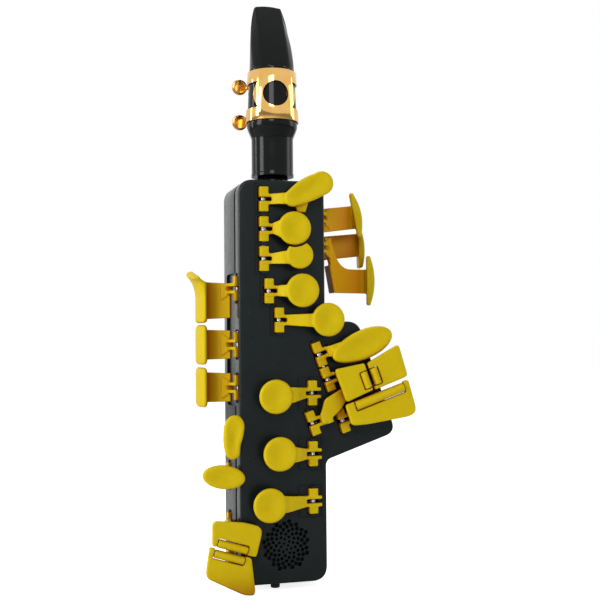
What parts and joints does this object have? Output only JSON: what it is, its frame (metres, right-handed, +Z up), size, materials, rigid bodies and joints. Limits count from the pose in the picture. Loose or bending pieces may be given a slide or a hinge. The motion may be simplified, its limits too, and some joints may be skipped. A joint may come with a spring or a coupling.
{
  "type": "digital wind controller",
  "caption": "Upright electronic sax-style wind controller: black housing with a side wing, sprung yellow key touches and rollers, and a glossy mouthpiece with a gold ligature on top.",
  "frame": {"origin": "centre of the housing's flat bottom face", "axes": "+Z up along the instrument to the mouthpiece, -Y out of the front face with the round pads, +X to the side of the wing and the palm keys"},
  "size_m": [0.116, 0.0756, 0.3112],
  "materials": {
    "housing": "satin charcoal moulding",
    "keys": "satin yellow moulding",
    "mouthpiece": "polished black",
    "reed": "bare cane",
    "gold": "polished, gold coloured",
    "steel": "bright drawn steel",
    "cork": "bare cork",
    "trim": "satin black moulding",
    "board": "green laminate",
    "cell": "foil sleeve"
  },
  "bodies": {
    "housing": {"front_shell": "housing", "back_shell": "housing", "mouthpiece": "mouthpiece", "reed": "reed", "ligature": "gold", "neck": "steel", "neck_cork": "cork", "speaker": "trim", "circuit_board": "board", "battery": "cell", "thumb_rest": "trim", "thumb_hook": "trim", "strap_ring": "steel", "rod_upper": "steel", "rod_a": "steel", "rod_g": "steel", "rod_f": "steel", "rod_e": "steel", "rod_d": "steel", "rod_table": "steel", "rod_low_b": "steel", "rod_low_b_flat": "steel", "rod_side": "steel", "rod_palm_front": "steel", "rod_palm_rear": "steel", "rod_low_upper": "steel", "rod_low_lower": "steel", "rod_octave": "steel"},
    "front_f_key": {"key_front_f": "keys"},
    "b_key": {"key_b": "keys"},
    "bis_key": {"key_bis": "keys"},
    "a_key": {"key_a": "keys"},
    "g_key": {"key_g": "keys"},
    "f_key": {"key_f": "keys"},
    "e_key": {"key_e": "keys"},
    "d_key": {"key_d": "keys"},
    "g_sharp_key": {"key_g_sharp": "keys"},
    "low_c_sharp_key": {"key_low_c_sharp": "keys"},
    "low_b_key": {"key_low_b": "keys"},
    "low_b_flat_key": {"key_low_b_flat": "keys"},
    "side_b_flat_key": {"key_side_b_flat": "keys"},
    "side_c_key": {"key_side_c": "keys"},
    "side_high_e_key": {"key_side_high_e": "keys"},
    "palm_d_key": {"key_palm_d": "keys"},
    "palm_f_key": {"key_palm_f": "keys"},
    "palm_e_flat_key": {"key_palm_e_flat": "keys"},
    "high_f_sharp_key": {"key_high_f_sharp": "keys"},
    "fork_f_sharp_key": {"key_fork_f_sharp": "keys"},
    "e_flat_key": {"key_e_flat": "keys"},
    "low_c_key": {"key_low_c": "keys"},
    "octave_key": {"key_octave": "keys"},
    "low_c_sharp_roller": {"roller_low_c_sharp": "keys"},
    "low_b_roller": {"roller_low_b": "keys"},
    "low_b_flat_roller": {"roller_low_b_flat": "keys"},
    "e_flat_roller": {"roller_e_flat": "keys"},
    "low_c_roller": {"roller_low_c": "keys"},
    "screw_upper": {"ligature_screw_upper": "gold"},
    "screw_lower": {"ligature_screw_lower": "gold"},
    "button": {"power_button": "trim"}
  },
  "joints": [
    {"name": "front_f_press", "type": "hinge", "parent": "housing", "child": "front_f_key", "pos_m": [-0.01007, -0.0197, 0.1976], "axis": [0, 0, 1], "range_deg": [0, 6.88], "stiffness_Nm_per_rad": 0.02, "springref_deg": -17.19},
    {"name": "b_press", "type": "hinge", "parent": "housing", "child": "b_key", "pos_m": [-0.01007, -0.0197, 0.18221], "axis": [0, 0, 1], "range_deg": [0, 13.18], "stiffness_Nm_per_rad": 0.02, "springref_deg": -17.19},
    {"name": "bis_press", "type": "hinge", "parent": "housing", "child": "bis_key", "pos_m": [-0.01007, -0.0197, 0.16682], "axis": [0, 0, 1], "range_deg": [0, 11.46], "stiffness_Nm_per_rad": 0.02, "springref_deg": -17.19},
    {"name": "a_press", "type": "hinge", "parent": "housing", "child": "a_key", "pos_m": [-0.0075, -0.0197, 0.15018], "axis": [0, 0, 1], "range_deg": [0, 12.03], "stiffness_Nm_per_rad": 0.02, "springref_deg": -17.19},
    {"name": "g_press", "type": "hinge", "parent": "housing", "child": "g_key", "pos_m": [-0.00221, -0.0197, 0.1352], "axis": [0, 0, 1], "range_deg": [0, 8.02], "stiffness_Nm_per_rad": 0.02, "springref_deg": -17.19},
    {"name": "f_press", "type": "hinge", "parent": "housing", "child": "f_key", "pos_m": [0.01518, -0.0197, 0.09734], "axis": [0, 0, -1], "range_deg": [0, 9.17], "stiffness_Nm_per_rad": 0.02, "springref_deg": -17.19},
    {"name": "e_press", "type": "hinge", "parent": "housing", "child": "e_key", "pos_m": [0.01527, -0.0197, 0.06594], "axis": [0, 0, -1], "range_deg": [0, 10.31], "stiffness_Nm_per_rad": 0.02, "springref_deg": -17.19},
    {"name": "d_press", "type": "hinge", "parent": "housing", "child": "d_key", "pos_m": [0.01518, -0.0197, 0.0416], "axis": [0, 0, -1], "range_deg": [0, 8.02], "stiffness_Nm_per_rad": 0.02, "springref_deg": -17.19},
    {"name": "g_sharp_press", "type": "hinge", "parent": "housing", "child": "g_sharp_key", "pos_m": [0.01914, -0.0197, 0.11731], "axis": [-0.3335, 0, 0.9428], "range_deg": [0, 8.88], "stiffness_Nm_per_rad": 0.02, "springref_deg": -17.19},
    {"name": "low_c_sharp_press", "type": "hinge", "parent": "housing", "child": "low_c_sharp_key", "pos_m": [0.02369, -0.0197, 0.10421], "axis": [-0.3335, 0, 0.9428], "range_deg": [0, 5.44], "stiffness_Nm_per_rad": 0.02, "springref_deg": -17.19},
    {"name": "low_b_press", "type": "hinge", "parent": "housing", "child": "low_b_key", "pos_m": [0.01536, -0.0197, 0.08174], "axis": [-0.3335, 0, 0.9428], "range_deg": [0, 3.15], "stiffness_Nm_per_rad": 0.02, "springref_deg": -17.19},
    {"name": "low_b_flat_press", "type": "hinge", "parent": "housing", "child": "low_b_flat_key", "pos_m": [0.03156, -0.0197, 0.08258], "axis": [-0.3335, 0, 0.9428], "range_deg": [0, 8.02], "stiffness_Nm_per_rad": 0.02, "springref_deg": -17.19},
    {"name": "side_b_flat_press", "type": "hinge", "parent": "housing", "child": "side_b_flat_key", "pos_m": [-0.022, -0.01221, 0.15184], "axis": [0, 0, -1], "range_deg": [0, 9.45], "stiffness_Nm_per_rad": 0.02, "springref_deg": -17.19},
    {"name": "side_c_press", "type": "hinge", "parent": "housing", "child": "side_c_key", "pos_m": [-0.022, -0.01221, 0.12272], "axis": [0, 0, -1], "range_deg": [0, 9.45], "stiffness_Nm_per_rad": 0.02, "springref_deg": -17.19},
    {"name": "side_high_e_press", "type": "hinge", "parent": "housing", "child": "side_high_e_key", "pos_m": [-0.022, -0.01221, 0.10046], "axis": [0, 0, -1], "range_deg": [0, 9.45], "stiffness_Nm_per_rad": 0.02, "springref_deg": -17.19},
    {"name": "palm_d_press", "type": "hinge", "parent": "housing", "child": "palm_d_key", "pos_m": [0.022, -0.01221, 0.1899], "axis": [0, 0, 1], "range_deg": [0, 6.59], "stiffness_Nm_per_rad": 0.02, "springref_deg": -17.19},
    {"name": "palm_f_press", "type": "hinge", "parent": "housing", "child": "palm_f_key", "pos_m": [0.022, -0.01221, 0.17389], "axis": [0, 0, 1], "range_deg": [0, 4.3], "stiffness_Nm_per_rad": 0.02, "springref_deg": -17.19},
    {"name": "palm_e_flat_press", "type": "hinge", "parent": "housing", "child": "palm_e_flat_key", "pos_m": [0.022, -0.00351, 0.17389], "axis": [0, 0, 1], "range_deg": [0, 5.73], "stiffness_Nm_per_rad": 0.02, "springref_deg": -17.19},
    {"name": "high_f_sharp_press", "type": "hinge", "parent": "housing", "child": "high_f_sharp_key", "pos_m": [-0.022, 0.0078, 0.07602], "axis": [0, 0, 1], "range_deg": [0, 5.73], "stiffness_Nm_per_rad": 0.02, "springref_deg": -17.19},
    {"name": "fork_f_sharp_press", "type": "hinge", "parent": "housing", "child": "fork_f_sharp_key", "pos_m": [-0.022, 0.0078, 0.05325], "axis": [0, 0, 1], "range_deg": [0, 5.73], "stiffness_Nm_per_rad": 0.02, "springref_deg": -17.19},
    {"name": "e_flat_press", "type": "hinge", "parent": "housing", "child": "e_flat_key", "pos_m": [-0.022, 0.0078, 0.02683], "axis": [0, 0, 1], "range_deg": [0, 5.73], "stiffness_Nm_per_rad": 0.02, "springref_deg": -17.19},
    {"name": "low_c_press", "type": "hinge", "parent": "housing", "child": "low_c_key", "pos_m": [-0.022, 0.0078, 0.00967], "axis": [0, 0, 1], "range_deg": [0, 3.15], "stiffness_Nm_per_rad": 0.02, "springref_deg": -17.19},
    {"name": "octave_press", "type": "hinge", "parent": "housing", "child": "octave_key", "pos_m": [0.0092, 0.0197, 0.17389], "axis": [0, 0, 1], "range_deg": [0, 11.46], "stiffness_Nm_per_rad": 0.02, "springref_deg": -17.19},
    {"name": "low_c_sharp_roll", "type": "hinge", "parent": "low_c_sharp_key", "child": "low_c_sharp_roller", "pos_m": [0.04161, -0.0293, 0.10379], "axis": [-0.3335, 0, 0.9428], "continuous": true},
    {"name": "low_b_roll", "type": "hinge", "parent": "low_b_key", "child": "low_b_roller", "pos_m": [0.04699, -0.0293, 0.10587], "axis": [-0.3335, 0, 0.9428], "continuous": true},
    {"name": "low_b_flat_roll", "type": "hinge", "parent": "low_b_flat_key", "child": "low_b_flat_roller", "pos_m": [0.04911, -0.0293, 0.0951], "axis": [0.9428, 0, 0.3335], "continuous": true},
    {"name": "e_flat_roll", "type": "hinge", "parent": "e_flat_key", "child": "e_flat_roller", "pos_m": [-0.02831, -0.0247, 0.02151], "axis": [0.9538, 0, -0.3003], "continuous": true},
    {"name": "low_c_roll", "type": "hinge", "parent": "low_c_key", "child": "low_c_roller", "pos_m": [-0.03013, -0.0247, 0.01651], "axis": [0.9538, 0, -0.3003], "continuous": true},
    {"name": "screw_upper_turn", "type": "hinge", "parent": "housing", "child": "screw_upper", "pos_m": [0, 0.0166, 0.2644], "axis": [1, 0, 0], "range_deg": [-720, 0]},
    {"name": "screw_lower_turn", "type": "hinge", "parent": "housing", "child": "screw_lower", "pos_m": [0, 0.0166, 0.2448], "axis": [1, 0, 0], "range_deg": [-720, 0]},
    {"name": "power_press", "type": "slide", "parent": "housing", "child": "button", "axis": [0, 0, 1], "range_m": [0, 0.001], "stiffness_N_per_m": 400, "springref_m": -0.002}
  ]
}
